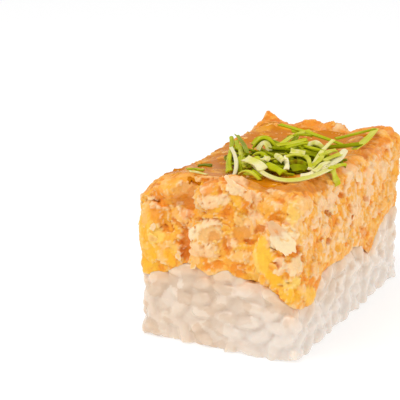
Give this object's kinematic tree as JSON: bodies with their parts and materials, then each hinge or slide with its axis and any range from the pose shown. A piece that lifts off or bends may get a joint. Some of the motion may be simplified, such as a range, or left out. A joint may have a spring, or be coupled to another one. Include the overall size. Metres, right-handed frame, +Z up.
{
  "type": "shrimp tempura oshi sushi",
  "caption": "Block of pressed sushi: a base of moist rice under a thick layer of shrimp and torn tempura batter, with a loose heap of fine scallion strips on top.",
  "frame": {"origin": "middle of the flat underside of the rice", "axes": "+Z up, -Y out of the torn front, +X out of the knife-cut right side; the long side of the block runs along Y"},
  "size_m": [0.0414, 0.0672, 0.0434],
  "materials": {
    "pressed_rice": "moist, soft sheen",
    "shrimp_and_batter": "rough, slightly oily",
    "scallion": "fresh, slightly waxy"
  },
  "bodies": {
    "root": {"rice_block": "pressed_rice", "shrimp_tempura_layer": "shrimp_and_batter", "scallion_heap": "scallion"}
  },
  "joints": []
}
